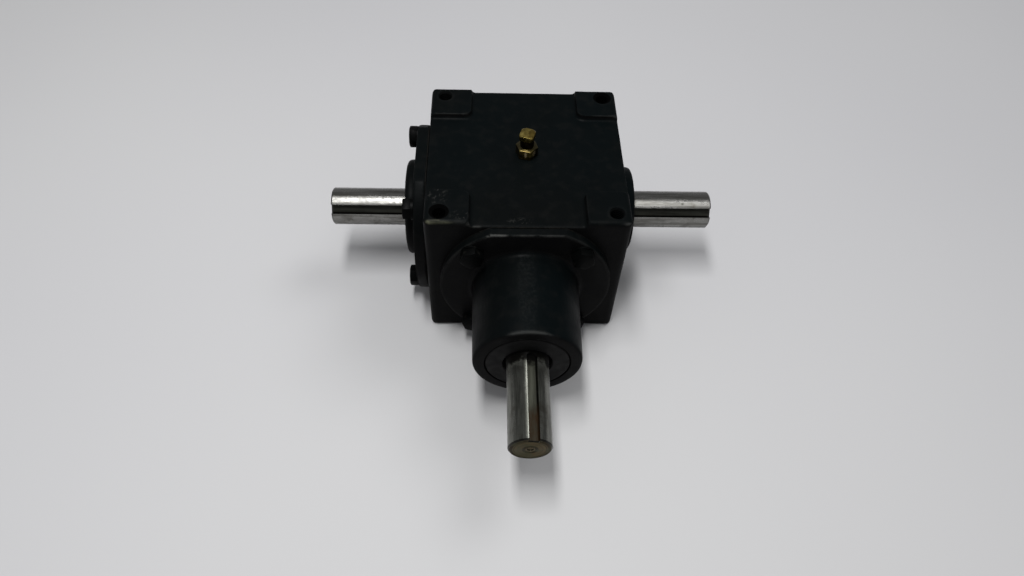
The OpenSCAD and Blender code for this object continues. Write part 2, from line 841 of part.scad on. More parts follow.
module bearing_spacer() {
    color(steel) to_front(inner_cup_back)
        ring(spacer_r, cone_r, outer_cup_back - inner_cup_back);
}

// Notches of a width and depth into the rim of a ring that stands on z = 0.
module rim_notches(angles, r, w, depth, h) {
    for (a = angles) rotate(a) translate([r - depth, -w / 2, -past])
        cube([depth + past, w, h + 2 * past]);
}

module lock_washer() {
    washer_rim = nut_r + 0.5;
    color(dark_steel) to_front(outer_cone) difference() {
        ring(washer_rim, cone_r, nut_washer_t);
        rim_notches([0:60:300], washer_rim, 3, 1.2, nut_washer_t);
    }
}

module bearing_locknut() {
    color(dark_steel) to_front(outer_cone + nut_washer_t) difference() {
        ring(nut_r, thread_r + still, nut_w);
        rim_notches([30:90:300], nut_r, 4, 2, nut_w);
    }
}

// ---- Breather and plugs ----

module breather_body() {
    hex_r = breather_flats / 2 / cos(30);
    crown_r = breather_flats / 2 - 0.4;
    cap_base = breather_h - breather_cap_t;
    spigot_top = cap_base + breather_socket - edge_break;
    color(brass) translate([breather_place.x, breather_place.y, recess_z]) difference() {
        union() {
            intersection() {
                rotate(breather_turn) cylinder(r = hex_r, h = breather_hex_h, $fn = 6);
                cylinder(r1 = hex_r + 2 * breather_hex_h, r2 = crown_r, h = breather_hex_h);
            }
            translate([0, 0, -floor_t]) cylinder(r = breather_port_r, h = floor_t + past);
            cylinder(r = breather_waist_r, h = cap_base - still);
            cylinder(r = breather_spigot_r, h = spigot_top);
        }
        translate([0, 0, -floor_t - past]) cylinder(r = vent_r, h = floor_t + past + vent_reach);
    }
}

module breather_cap() {
    half = breather_cap_side / 2;
    base_z = recess_z + breather_h - breather_cap_t;
    color(brass) translate([breather_place.x, breather_place.y, base_z]) difference() {
        intersection() {
            cylinder(r = breather_cap_r, h = breather_cap_t);
            rotate(breather_cap_turn)
                translate([-half, -half, 0])
                    cube([breather_cap_side, breather_cap_side, breather_cap_t]);
            cylinder(r1 = breather_cap_r + 5, r2 = breather_cap_r - 0.8, h = breather_cap_t);
        }
        translate([0, 0, -past])
            cylinder(r = breather_spigot_r + still, h = past + breather_socket);
    }
}

// A pipe plug let in flush with the back wall, with a hexagon socket.
module pipe_plug(place) {
    color(dark_steel) translate([place.x, face_y - plug_inset, place.y]) rotate([90, 0, 0])
        difference() {
            cylinder(r = port_r, h = plug_len);
            translate([0, 0, -past]) cylinder(d = plug_socket, h = socket_depth + past, $fn = 6);
        }
}

module level_plug() { pipe_plug(level_place); }
module drain_plug() { pipe_plug(drain_place); }

housing();
left_cap();
cap_gasket();
cap_screws();
cap_washers();
quill();
quill_gasket();
quill_screws();
quill_washers();
left_seal();
right_seal();
input_seal();
left_seal_spring();
right_seal_spring();
input_seal_spring();
breather_body();
breather_cap();
level_plug();
drain_plug();
left_cup();
right_cup();
quill_inner_cup();
quill_outer_cup();
left_cone();
right_cone();
quill_inner_cone();
quill_outer_cone();
left_rollers();
right_rollers();
quill_inner_rollers();
quill_outer_rollers();
left_cage();
right_cage();
quill_inner_cage();
quill_outer_cage();
cross_shaft();
bevel_gear();
gear_key();
gear_spacer();
input_shaft();
bevel_pinion();
pinion_key();
pinion_retaining_ring();
bearing_spacer();
lock_washer();
bearing_locknut();
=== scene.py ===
"""Looks for a right-angle gearbox: worn black castings, ground steel shafts, a brass breather.

Lengths are in metres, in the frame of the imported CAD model: +Z up, the cross shaft along X and the
input shaft leaving towards -Y. The three castings are rebuilt from their CAD meshes with the soft
edges of cast iron, and then machined again, so bores and tapped holes stay crisp.
"""

import json
import math

import bmesh
import bpy
import numpy as np
from mathutils import Matrix, Vector, noise


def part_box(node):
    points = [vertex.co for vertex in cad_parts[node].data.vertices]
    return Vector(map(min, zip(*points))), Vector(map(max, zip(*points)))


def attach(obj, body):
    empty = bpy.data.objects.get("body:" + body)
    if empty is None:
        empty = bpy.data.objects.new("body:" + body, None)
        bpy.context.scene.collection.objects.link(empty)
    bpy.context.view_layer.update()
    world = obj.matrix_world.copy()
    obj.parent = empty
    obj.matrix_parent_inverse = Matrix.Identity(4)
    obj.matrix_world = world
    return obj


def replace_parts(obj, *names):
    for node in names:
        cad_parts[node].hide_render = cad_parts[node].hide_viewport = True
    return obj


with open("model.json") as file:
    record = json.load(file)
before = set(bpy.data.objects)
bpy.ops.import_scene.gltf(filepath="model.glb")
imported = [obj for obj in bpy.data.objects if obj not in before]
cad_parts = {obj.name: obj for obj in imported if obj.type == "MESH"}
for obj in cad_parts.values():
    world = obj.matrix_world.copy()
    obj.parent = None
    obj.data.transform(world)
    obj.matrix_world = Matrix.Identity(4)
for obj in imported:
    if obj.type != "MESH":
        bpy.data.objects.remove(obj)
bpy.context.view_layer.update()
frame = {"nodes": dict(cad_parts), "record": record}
nodes = frame["nodes"]
mounts = {m["name"]: m for m in frame["record"]["mounts"]}

MM = 0.001
AXIS_Z = (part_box("cross_shaft")[0].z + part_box("cross_shaft")[1].z) / 2
CROSSING = Vector((0, 0, AXIS_Z))  # where the axes of the two shafts meet
RIGHT, LEFT = Vector((1, 0, 0)), Vector((-1, 0, 0))
FRONT, BACK = Vector((0, -1, 0)), Vector((0, 1, 0))
UP, DOWN = Vector((0, 0, 1)), Vector((0, 0, -1))
SHAFT_R = mounts["input_shaft_end"]["dims"]["r_mm"] * MM

# How the castings are rebuilt.
CELL = {"housing": 1.0 * MM, "left_cap": 0.8 * MM, "quill": 0.8 * MM}  # size of a voxel
MAX_FACES = 165_000  # the most triangles of a casting before it is machined
SOFTENING, SOFTENING_SHARE = 4, 0.5  # passes that round the edges, and how much each one does
SURFACE_WAVES = ((13 * MM, 0.14 * MM), (3 * MM, 0.05 * MM))  # (wavelength, height)
PAST = 1 * MM  # length by which a cutter passes a face
BLANK_SIDES, CUTTER_SIDES = 128, 96
CAD_WELD, CUT_WELD = 0.001 * MM, 0.002 * MM  # points closer than this are joined
CRUMB = 100  # a loose scrap with fewer points than this is removed

# Angles between two faces, in degrees, and the width of each machined piece's broken edges.
MERGED_BELOW, BEVELLED_ABOVE, SHARP_ABOVE = 1, 32, 40
BROKEN_EDGE = {
    "breather_body": 0.6 * MM,
    "breather_cap": 1.1 * MM,
    "cap_screws": 0.3 * MM,
    "quill_screws": 0.3 * MM,
    "level_plug": 0.25 * MM,
    "drain_plug": 0.25 * MM,
}

# Machined features that the boxes of the nodes don't give.
SEAT_GAP = 0.3 * MM
MOUTH_CHAMFER, PORT_CHAMFER = 0.6 * MM, 0.3 * MM
BORE_FIT = 0.02 * MM
SHOULDER_R = 21.5 * MM
HOLE_DEPTH = 18 * MM
# The last radius is that of the painted shade in the two wide mouths.
WIDE_MOUTH_R, NARROW_MOUTH_R, HOLE_SHADE_R = 6.2 * MM, 4.9 * MM, 6.4 * MM
TOP_MOUTH, BASE_MOUTH = 1.6 * MM, 0.4 * MM
THREAD_PITCH, THREAD_DEPTH = 1.5 * MM, 0.5 * MM
PAD = 28 * MM
HALF_SPACING = mounts["top_bolts"]["dims"]["spacing_x_mm"] * MM / 2
BREATHER_HEX_H = 7 * MM

# The direction in which the shaft leaves each seal.
SEALS = {"left_seal": LEFT, "right_seal": RIGHT, "input_seal": FRONT}
GRIME_AND_SHADE_W = 1.2 * MM  # width of the grime and painted shade round a seal
GRIME_AND_SHADE_REACH = {"cross_shaft": 1.2 * MM, "input_shaft": 8 * MM}  # how far it runs along a shaft
KEY_TURN = {"cross_shaft": 55, "input_shaft": 9}  # keyseats: degrees from straight up
KEY_HALF_W = 3.2 * MM
PIT = 110 * MM, 26  # a pit in the cross shaft: place along it, degrees from straight up

# Linear colours. Steel: a clean place, a rubbed place and the floor of a keyseat. The cross shaft's
# dark keyseat floor is partly painted shade of the recess.
CROSS_TONES = (0.255, 0.252, 0.24), (0.135, 0.132, 0.12), (0.055, 0.056, 0.047)
INPUT_TONES = (0.178, 0.180, 0.160), (0.088, 0.090, 0.078), (0.115, 0.118, 0.092)
# Black and brown of grime and painted shade: seal grooves, wide hole mouths, the seal over the input
# shaft, and shafts by the seals.
SHADE_AND_GRIME_BLACK, GRIME_AND_SHADE_BROWN = (0.0008, 0.0008, 0.0008), (0.0035, 0.0033, 0.0027)
STEEL_STAIN, DULL_CHAMFER = (0.085, 0.080, 0.064), (0.030, 0.030, 0.026)
RUST, BLACK_CHAMFER = (0.030, 0.0165, 0.0075), (0.010, 0.009, 0.008)
PALE_RING, DARK_RING = (0.118, 0.090, 0.048), (0.030, 0.023, 0.012)
END_BLOTCH, CENTRE_MARK = (0.070, 0.070, 0.042), (0.34, 0.29, 0.19)
# Paint tones by facing, as painted light: blue-green on top, side walls darker than the paler front
# and back walls.
TOP_PAINT, GREENER_PAINT = (0.0024, 0.0031, 0.0032), (0.0019, 0.0034, 0.0039)
SIDE_WALL, WALL_PAINTED_LIGHT = (0.0030, 0.0030, 0.0032), (0.0049, 0.0049, 0.0051)
PAINT_DUST, SCRATCH = (0.0085, 0.0085, 0.0080), (0.030, 0.030, 0.028)
# Painted highlights on the quill: specks along the top of its tube, and the rounded lip of its nose.
SPECK_HIGHLIGHT, LIP_HIGHLIGHT = (0.0125, 0.0140, 0.0140), (0.0190, 0.0205, 0.0205)
BARE_IRON, YELLOWED_IRON = (0.100, 0.101, 0.096), (0.115, 0.115, 0.078)
# Brass colours; the waist, the hex rim and the back of the hex take painted shade, the front facets
# painted highlights.
BRASS, TARNISH, BRASS_SHADE = (0.30, 0.235, 0.068), (0.14, 0.098, 0.022), (0.030, 0.028, 0.015)
HEX_RIM_SHADE, WAIST_SHADE = (0.060, 0.050, 0.026), (0.022, 0.014, 0.005)
BRASS_HIGHLIGHT = (0.25, 0.205, 0.135)

# The photograph's viewpoint, and the floor.
CAMERA_PLACE = (-0.0254, -0.3661, 0.4424)
CAMERA_PITCH, CAMERA_YAW, CAMERA_ROLL = 52.74, 3.29, 3.03  # degrees
CAMERA_LENS, CAMERA_SENSOR, CAMERA_NEAR = 26.64, 36, 0.01  # mm, mm, m
FLOOR_REACH = 6.0  # half the side of the floor


# ---- Meshes ----


def facing(direction, origin):
    """Turns local +Z to direction and moves the local origin to origin."""
    return Matrix.Translation(origin) @ direction.to_track_quat("Z", "Y").to_matrix().to_4x4()


def add_turned(bm, profile, place, sides=BLANK_SIDES):
    """Adds a solid of revolution: (radius, height) points that start and end on the axis."""
    rings = []
    for radius, height in profile:
        angles = [2 * math.pi * i / sides for i in range(sides)] if radius else [0]
        points = [Vector((radius * math.cos(a), radius * math.sin(a), height)) for a in angles]
        rings.append([bm.verts.new(place @ p) for p in points])
    for low, high in zip(rings, rings[1:]):
        for i in range(sides):
            j = (i + 1) % sides
            corners = low[i % len(low)], low[j % len(low)], high[j % len(high)], high[i % len(high)]
            bm.faces.new(dict.fromkeys(corners))


def new_object(name, bm):
    """An object named name with the bmesh's geometry."""
    mesh = bpy.data.meshes.new(name)
    bm.to_mesh(mesh)
    bm.free()
    obj = bpy.data.objects.new(name, mesh)
    bpy.context.scene.collection.objects.link(obj)
    return obj


def new_piece(name, bm):
    """A piece with the bmesh's geometry, riding on the body that stands still."""
    bmesh.ops.recalc_face_normals(bm, faces=bm.faces)
    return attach(new_object(name, bm), "gearcase")


def apply_modifier(piece, kind, **settings):
    """Adds a modifier to a piece and applies it."""
    modifier = piece.modifiers.new(kind, kind)
    for key, value in settings.items():
        setattr(modifier, key, value)
    depsgraph = bpy.context.evaluated_depsgraph_get()
    mesh = bpy.data.meshes.new_from_object(piece.evaluated_get(depsgraph))
    piece.modifiers.clear()
    piece.data = mesh


def uneven(piece):
    """Pushes the surface in by a slow waviness, as a sand mould leaves it."""
    mesh = piece.data
    count = len(mesh.vertices)
    points, normals = np.empty(count * 3), np.empty(count * 3)
    mesh.vertices.foreach_get("co", points)
    mesh.vertex_normals.foreach_get("vector", normals)
    points, normals = points.reshape(-1, 3), normals.reshape(-1, 3)
    for wavelength, height in SURFACE_WAVES:
        wave = np.array([noise.noise(Vector(p)) for p in points / wavelength])
        points = points + normals * (np.clip(wave, -1, 1) - 1)[:, None] * height / 2
    mesh.vertices.foreach_set("co", points.ravel())


def clean_copy(node):
    """The CAD mesh of a node as a bmesh, with its triangles joined up."""
    bm = bmesh.new()
    bm.from_mesh(nodes[node].data)
    bmesh.ops.remove_doubles(bm, verts=bm.verts, dist=CAD_WELD)
    return bm


def smooth_by_angle(piece):
    """Shades a piece smooth, apart from its sharp edges."""
    mesh = piece.data
    for name in ("custom_normal", "sharp_face"):
        if name in mesh.attributes:
            mesh.attributes.remove(mesh.attributes[name])
    mesh.set_sharp_from_angle(angle=math.radians(SHARP_ABOVE))


# ---- Castings ----
# A machined feature is a cutter, a blank that fills the feature, and the place of both. Cutter and
# blank are outlines for add_turned.


def seal_bore(seal, direction, throat_r):
    """A stepped bore for a shaft seal."""
    low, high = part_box(seal)
    ends = sorted((corner - CROSSING).dot(direction) for corner in (low, high))
    seat, face = ends[0] - SEAT_GAP, ends[1]
    widths = [high[i] - low[i] for i in range(3)]
    seal_r = max(widths) / 2 + BORE_FIT
    mouth_r = seal_r + MOUTH_CHAMFER
    deep = seat - PAST
    cutter = [(0, deep - PAST), (throat_r, deep - PAST), (throat_r, seat), (seal_r, seat)]
    cutter += [(seal_r, face - MOUTH_CHAMFER), (mouth_r, face)]
    cutter += [(mouth_r, face + PAST), (0, face + PAST)]
    blank = [(0, deep), (mouth_r, deep), (mouth_r, face), (0, face)]
    return cutter, blank, facing(direction, CROSSING)


def tapped_hole(place, direction, hole_r, mouth_r, mouth_depth):
    """A tapped blind hole with a countersunk mouth. Its thread is a stack of rings."""
    cutter = [(0, -HOLE_DEPTH), (hole_r, -HOLE_DEPTH)]
    turns = int((HOLE_DEPTH - mouth_depth) / THREAD_PITCH) - 1
    for i in range(turns):
        root = -mouth_depth - (turns - i) * THREAD_PITCH
        crest = root + THREAD_PITCH / 2
        cutter += [(hole_r, root), (hole_r + THREAD_DEPTH, crest)]
    cutter += [(hole_r, -mouth_depth), (mouth_r, 0), (mouth_r, PAST), (0, PAST)]
    deep = -HOLE_DEPTH - PAST
    blank = [(0, deep), (mouth_r, deep), (mouth_r, 0), (0, 0)]
    return cutter, blank, facing(direction, place)


def mounting_holes():
    """The tapped holes of the top and bottom pads. One diagonal pair has wider mouths at the top."""
    low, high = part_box("housing")
    holes = []
    for name, direction, depth in (("top_bolts", UP, TOP_MOUTH), ("base_bolts", DOWN, BASE_MOUTH)):
        size = mounts[name]["dims"]
        for sx in (-1, 1):
            for sy in (-1, 1):
                wide = sx == sy and direction == UP
                x, y = sx * size["spacing_x_mm"] * MM / 2, sy * size["spacing_y_mm"] * MM / 2
                place = Vector((x, y, high.z if direction == UP else low.z))
                mouth_r = WIDE_MOUTH_R if wide else NARROW_MOUTH_R
                holes.append(tapped_hole(place, direction, size["hole_r_mm"] * MM, mouth_r, depth))
    return holes


def port(plug):
    """The bore that a plug in the back wall stands in."""
    low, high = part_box(plug)
    radius = (high.x - low.x) / 2 + BORE_FIT
    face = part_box("housing")[1].y
    place = facing(BACK, Vector(((low.x + high.x) / 2, face, (low.z + high.z) / 2)))
    deep = low.y - face
    mouth_r, blank_r = radius + PORT_CHAMFER, radius + PAST
    cutter = [(0, deep), (radius, deep), (radius, -PORT_CHAMFER), (mouth_r, 0)]
    cutter += [(mouth_r, PAST), (0, PAST)]
    blank = [(0, deep + PAST), (blank_r, deep + PAST), (blank_r, 0), (0, 0)]
    return cutter, blank, place


def without_crumbs(piece):
    """Joins points that nearly touch, splits large faces, and removes the scraps of a cut."""
    bm = bmesh.new()
    bm.from_mesh(piece.data)
    bmesh.ops.remove_doubles(bm, verts=bm.verts, dist=CUT_WELD)
    bmesh.ops.dissolve_degenerate(bm, edges=bm.edges, dist=CUT_WELD)
    bmesh.ops.triangulate(bm, faces=[f for f in bm.faces if len(f.verts) > 4])
    waiting, crumbs = set(bm.verts), []
    while waiting:
        island, queue = set(), [waiting.pop()]
        while queue:
            vert = queue.pop()
            island.add(vert)
            near = [edge.other_vert(vert) for edge in vert.link_edges]
            near = [v for v in near if v in waiting]
            waiting.difference_update(near)
            queue += near
        if len(island) < CRUMB:
            crumbs += island
    bmesh.ops.delete(bm, geom=crumbs, context="VERTS")
    bm.to_mesh(piece.data)
    bm.free()


def casting(node, machined):
    """Rebuilds a casting: fills its machined features, rounds it as cast, and cuts them again."""
    bm = clean_copy(node)
    for _, blank, place in machined:
        add_turned(bm, blank, place)
    piece = new_piece(node + "_casting", bm)
    apply_modifier(piece, "REMESH", mode="VOXEL", voxel_size=CELL[node])
    apply_modifier(piece, "SMOOTH", factor=SOFTENING_SHARE, iterations=SOFTENING)
    uneven(piece)
    triangles = 2 * len(piece.data.polygons)
    if triangles > MAX_FACES:
        apply_modifier(piece, "DECIMATE", ratio=MAX_FACES / triangles)
    bm = bmesh.new()
    for cutter, _, place in machined:
        add_turned(bm, cutter, place, CUTTER_SIDES)
    cutters = new_piece(node + "_cutters", bm)
    apply_modifier(piece, "BOOLEAN", operation="DIFFERENCE", solver="MANIFOLD", object=cutters)
    bpy.data.objects.remove(cutters)
    without_crumbs(piece)
    smooth_by_angle(piece)
    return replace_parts(piece, node)


def machined_copy(node, edge):
    """Rebuilds a machined piece from its CAD mesh with every sharp edge broken by a small round."""
    bm = clean_copy(node)
    flat = math.radians(MERGED_BELOW)
    bmesh.ops.dissolve_limit(bm, angle_limit=flat, verts=bm.verts, edges=bm.edges)
    piece = new_piece(node + "_finished", bm)
    settings = {"width": edge, "segments": 2, "limit_method": "ANGLE", "harden_normals": False}
    apply_modifier(piece, "BEVEL", angle_limit=math.radians(BEVELLED_ABOVE), **settings)
    smooth_by_angle(piece)
    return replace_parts(piece, node)


# ---- Materials ----


class Finish:
    """One material, with short calls for its nodes. Patterns use object coordinates in metres."""

    def __init__(self, name, metallic=0.0, **values):
        self.material = bpy.data.materials.new(name)
        self.material.use_nodes = True
        self.tree = self.material.node_tree
        self.shader = self.tree.nodes["Principled BSDF"]
        self.shader.inputs["Metallic"].default_value = metallic
        for key, value in values.items():
            self.shader.inputs[key.replace("_", " ")].default_value = value
        self.place = self.add("ShaderNodeTexCoord").outputs["Object"]

    def add(self, kind, **settings):
        node = self.tree.nodes.new(kind)
        for key, value in settings.items():
            setattr(node, key, value)
        return node

    def feed(self, socket, value):
        """Links an output to a socket, or sets a plain value."""
        if isinstance(value, bpy.types.NodeSocket):
            self.tree.links.new(value, socket)
        else:
            socket.default_value = value

    def math(self, operation, a, b=0.0):
        node = self.add("ShaderNodeMath", operation=operation)
        self.feed(node.inputs[0], a)
        self.feed(node.inputs[1], b)
        return node.outputs[0]

    def times(self, a, b):
        return self.math("MULTIPLY", a, b)

    def minus(self, a, b):
        return self.math("SUBTRACT", a, b)

    def most(self, a, b):
        return self.math("MAXIMUM", a, b)

    def vector(self, operation, a, b=(0, 0, 0), output="Vector"):
        node = self.add("ShaderNodeVectorMath", operation=operation)
        self.feed(node.inputs[0], a)
        self.feed(node.inputs[1], b)
        return node.outputs[output]

    def dot(self, a, b):
        return self.vector("DOT_PRODUCT", a, b, "Value")

    def length(self, a):
        return self.vector("LENGTH", a, output="Value")

    def noise(self, size, detail=3.0, roughness=0.5, stretch=(1, 1, 1), turn=0.0):
        """Noise with blobs of about size metres, made longer along an axis by a stretch over 1.

        turn is an angle in degrees about Z by which the pattern, with its stretch, is turned.
        """
        place = self.place
        if turn:
            turned = self.add("ShaderNodeVectorRotate", rotation_type="Z_AXIS")
            self.feed(turned.inputs["Vector"], place)
            self.feed(turned.inputs["Angle"], -math.radians(turn))
            place = turned.outputs[0]
        node = self.add("ShaderNodeTexNoise")
        values = (self.vector("DIVIDE", place, stretch), 0.5 / size, detail, roughness)
        for key, value in zip(("Vector", "Scale", "Detail", "Roughness"), values):
            self.feed(node.inputs[key], value)
        return node.outputs["Fac"]

    def ramp(self, value, low, high, to_low=0.0, to_high=1.0):
        """Runs smoothly from to_low, where value is low, to to_high, where value is high."""
        node = self.add("ShaderNodeMapRange", interpolation_type="SMOOTHSTEP")
        for i, v in enumerate((value, low, high, to_low, to_high)):
            self.feed(node.inputs[i], v)
        return node.outputs[0]

    def mix(self, share, a, b):
        """Colour a, with a share of colour b."""
        node = self.add("ShaderNodeMix", data_type="RGBA")
        self.feed(node.inputs["Factor"], share)
        self.feed(node.inputs["A"], a if isinstance(a, bpy.types.NodeSocket) else (*a, 1))
        self.feed(node.inputs["B"], b if isinstance(b, bpy.types.NodeSocket) else (*b, 1))
        return node.outputs["Result"]

    def zone(self, centre, half_size, soft=0.5):
        """1 in the middle of an ellipsoid of these half sizes, falling to 0 at its surface."""
        offset = self.vector("SUBTRACT", self.place, centre)
        outward = self.length(self.vector("DIVIDE", offset, half_size))
        return self.ramp(outward, soft, 1.0, 1.0, 0.0)

    def bump(self, height, strength, distance, under=None):
        node = self.add("ShaderNodeBump")
        node.inputs["Strength"].default_value = strength
        node.inputs["Distance"].default_value = distance
        self.feed(node.inputs["Height"], height)
        if under is not None:
            self.feed(node.inputs["Normal"], under)
        return node.outputs["Normal"]

    def done(self, colour, roughness, normal=None, metallic=None):
        """The material, with these fed to its shader."""
        parts = {"Base Color": colour, "Roughness": roughness}
        parts |= {"Normal": normal, "Metallic": metallic}
        for key, value in parts.items():
            if value is not None:
                self.feed(self.shader.inputs[key], value)
        return self.material


def reach(node, direction):
    """How far a node reaches from the crossing of the shafts, along a level direction."""
    return max(corner.dot(direction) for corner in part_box(node))


def distance_out(f, direction):
    """How far a place lies along direction."""
    return f.dot(f.place, direction)


def off_axis(f, direction):
    """Distance from the axis of the shaft that runs along direction."""
    offset = f.vector("SUBTRACT", f.place, CROSSING)
    return f.length(f.vector("MULTIPLY", offset, [1 - abs(c) for c in direction]))


def convex_edges(f):
    """1 on outer edges and corners of a dense mesh, and 0 on flat and hollow places."""
    return f.ramp(f.add("ShaderNodeNewGeometry").outputs["Pointiness"], 0.508, 0.535)


# ---- Black paint of the castings ----


def wear_and_highlight_places(f):
    """How far the paint has worn by place, mostly on the front edges, which get knocked; some zones
    are painted edge highlights.
    """
    low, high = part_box("housing")
    left, right, front, back, top = low.x, high.x, low.y, high.y, high.z
    flange_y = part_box("quill_washers")[1].y
    recess_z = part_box("quill")[1].z
    nose_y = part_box("quill")[0].y
    zones = [
        ((left + 8 * MM, front, top), (15 * MM, 3 * MM, 3 * MM), 0.8),
        ((left + 21 * MM, front, top), (7 * MM, 3 * MM, 3 * MM), 0.2),
        ((right - 9 * MM, front, top), (13 * MM, 2.8 * MM, 2.8 * MM), 0.35),
        ((left, front, AXIS_Z), (7 * MM, 7 * MM, 62 * MM), 0.25),
        ((-21 * MM, flange_y, recess_z), (11 * MM, 3 * MM, 2.4 * MM), 0.65),
        ((6 * MM, flange_y, recess_z), (22 * MM, 3 * MM, 2.4 * MM), 0.2),
        ((left + 14 * MM, back - PAD, top), (15 * MM, 3 * MM, 4 * MM), 0.12),
        ((right - 14 * MM, back - PAD, top), (17 * MM, 3 * MM, 4 * MM), 0.12),
        ((left + 30 * MM, front, recess_z), (6 * MM, 4 * MM, 4 * MM), 0.3),
        # Partly painted highlights on rounded edges, partly wear: the top of the quill nose and the
        # rim of its flange.
        ((0, nose_y, AXIS_Z + 30 * MM), (15 * MM, 5 * MM, 8 * MM), 0.28),
        ((0, flange_y, AXIS_Z), (64 * MM, 6 * MM, 64 * MM), 0.24),
    ]
    total = 0.015
    for centre, half_size, share in zones:
        total = f.most(total, f.times(f.zone(centre, half_size, 0.6), share))
    return total


def scratches(f):
    """Short nicks with ragged ends, at three angles, as from tools that were laid on the top."""
    total = 0.0
    for turn, size in ((70, 0.8 * MM), (28, 0.9 * MM), (108, 0.7 * MM)):
        total = f.most(total, f.ramp(f.noise(size, 3, 0.6, (3, 1, 1), turn), 0.55, 0.70))
    return f.times(total, f.ramp(f.noise(2.2 * MM, 2), 0.40, 0.58))


def scratched_places(f):
    """The marks round the front left mounting hole and by the middle of the front edge."""
    low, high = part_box("housing")
    hole = Vector((-HALF_SPACING, -HALF_SPACING, high.z))
    behind = f.zone(hole + Vector((-1, 13, 0)) * MM, (9 * MM, 9 * MM, 4 * MM))
    beside = f.zone(hole + Vector((13, -3, 0)) * MM, (8 * MM, 5 * MM, 4 * MM))
    middle = f.zone((-5 * MM, low.y + 5 * MM, high.z), (11 * MM, 4 * MM, 8 * MM))
    return f.most(f.most(behind, beside), middle)


def seal_gap(f):
    """1 in the groove round a shaft seal, painted black: grime, and painted shade in the groove."""
    low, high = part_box("input_seal")
    gap_r = (high.x - low.x) / 2
    total = 0.0
    for seal, direction in SEALS.items():
        off_ring = f.math("ABSOLUTE", f.minus(off_axis(f, direction), gap_r))
        off_face = f.math("ABSOLUTE", f.minus(distance_out(f, direction), reach(seal, direction)))
        near_face = f.ramp(off_face, 2 * MM, MM)
        total = f.most(total, f.times(f.ramp(off_ring, GRIME_AND_SHADE_W, GRIME_AND_SHADE_W / 2), near_face))
    return total


def hole_shade(f):
    """1 in the mouths of the two wide mounting holes, which are painted black as painted shade, so
    they look deep.
    """
    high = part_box("housing")[1]
    total = 0.0
    for side in (-1, 1):
        place = (side * HALF_SPACING, side * HALF_SPACING, high.z - TOP_MOUTH)
        total = f.most(total, f.zone(place, (HOLE_SHADE_R, HOLE_SHADE_R, 9 * MM), 0.95))
    return total


def speck_highlights(f):
    """Painted highlights along the top of the quill tube: lighter specks of cast grain over a faint
    lighter line.
    """
    nose, root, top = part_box("quill")[0].y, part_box("housing")[0].y, AXIS_Z + 33 * MM
    ridge = f.zone((-1 * MM, (nose + root) / 2, top), (7.5 * MM, 44 * MM, 9 * MM), 0.55)
    specks = f.ramp(f.noise(0.8 * MM, detail=3, roughness=0.7), 0.44, 0.66)
    return f.times(ridge, f.math("ADD", f.times(specks, 0.34), 0.06))


def nose_lip_highlight(f, normal):
    """1 where the end of the quill turns from the top to the front: a painted highlight along that
    rounded edge.
    """
    turning = f.ramp(f.dot(normal, (FRONT + UP).normalized()), 0.88, 0.98)
    nose = (0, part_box("quill")[0].y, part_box("quill_outer_cup")[1].z + 8 * MM)
    return f.times(turning, f.zone(nose, (17 * MM, 6 * MM, 14 * MM), 0.5))


def paint_tone_and_light(f, normal):
    """The paint before wear, and dusty. Its tone by facing is painted light: paler on the front and
    back walls, blue-green on top.
    """
    facing_up = f.ramp(f.dot(normal, UP), 0.1, 0.8)
    # Painted light: walls that face front or back are made paler.
    lit_walls = f.ramp(f.math("ABSOLUTE", f.dot(normal, FRONT)), 0.85, 0.98)
    top = f.mix(f.ramp(f.noise(60 * MM, detail=3), 0.35, 0.65), TOP_PAINT, GREENER_PAINT)
    paint = f.mix(facing_up, f.mix(lit_walls, SIDE_WALL, WALL_PAINTED_LIGHT), top)
    dust = f.ramp(f.noise(4 * MM, detail=4), 0.45, 0.75, 0.0, 0.3)
    return f.mix(dust, paint, PAINT_DUST)


def black_paint():
    """Satin black over cast grain, worn to dull metal at knocked edges, with painted light, shade
    and highlights.
    """
    f = Finish("black_paint", Specular_IOR_Level=0.026)
    normal = f.add("ShaderNodeTexCoord").outputs["Normal"]
    edges = convex_edges(f)
    patchy = f.ramp(f.noise(4 * MM, detail=5, roughness=0.7), 0.32, 0.55)
    edge_wear_and_highlight = f.times(f.times(edges, patchy), wear_and_highlight_places(f))
    scratched = f.times(scratched_places(f), scratches(f))
    # Painted shade, with grime in the seal grooves: the seal grooves and the wide hole mouths go
    # black.
    grime_and_shade = f.most(seal_gap(f), hole_shade(f))
    low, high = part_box("housing")
    yellowed = f.zone((low.x, low.y, high.z), (24 * MM, 5 * MM, 5 * MM), 0.7)
    colour = f.mix(f.times(scratched, 0.8), paint_tone_and_light(f, normal), SCRATCH)
    colour = f.mix(speck_highlights(f), colour, SPECK_HIGHLIGHT)
    colour = f.mix(nose_lip_highlight(f, normal), colour, LIP_HIGHLIGHT)
    colour = f.mix(edge_wear_and_highlight, colour, f.mix(yellowed, BARE_IRON, YELLOWED_IRON))
    colour = f.mix(grime_and_shade, colour, SHADE_AND_GRIME_BLACK)
    rough = f.ramp(f.noise(9 * MM, detail=4), 0.3, 0.7, 0.36, 0.5)
    rough = f.most(rough, f.most(grime_and_shade, f.times(edges, 0.75)))
    grain = f.bump(f.noise(0.9 * MM, detail=3, roughness=0.6), 0.45, 0.14 * MM)
    dents = f.bump(f.ramp(f.noise(5 * MM, detail=2), 0.30, 0.42), 0.25, 0.15 * MM, grain)
    chips = f.bump(f.minus(1.0, f.most(edge_wear_and_highlight, scratched)), 0.5, 0.08 * MM, dents)
    return f.done(colour, rough, chips)


# ---- Steel of the shafts ----


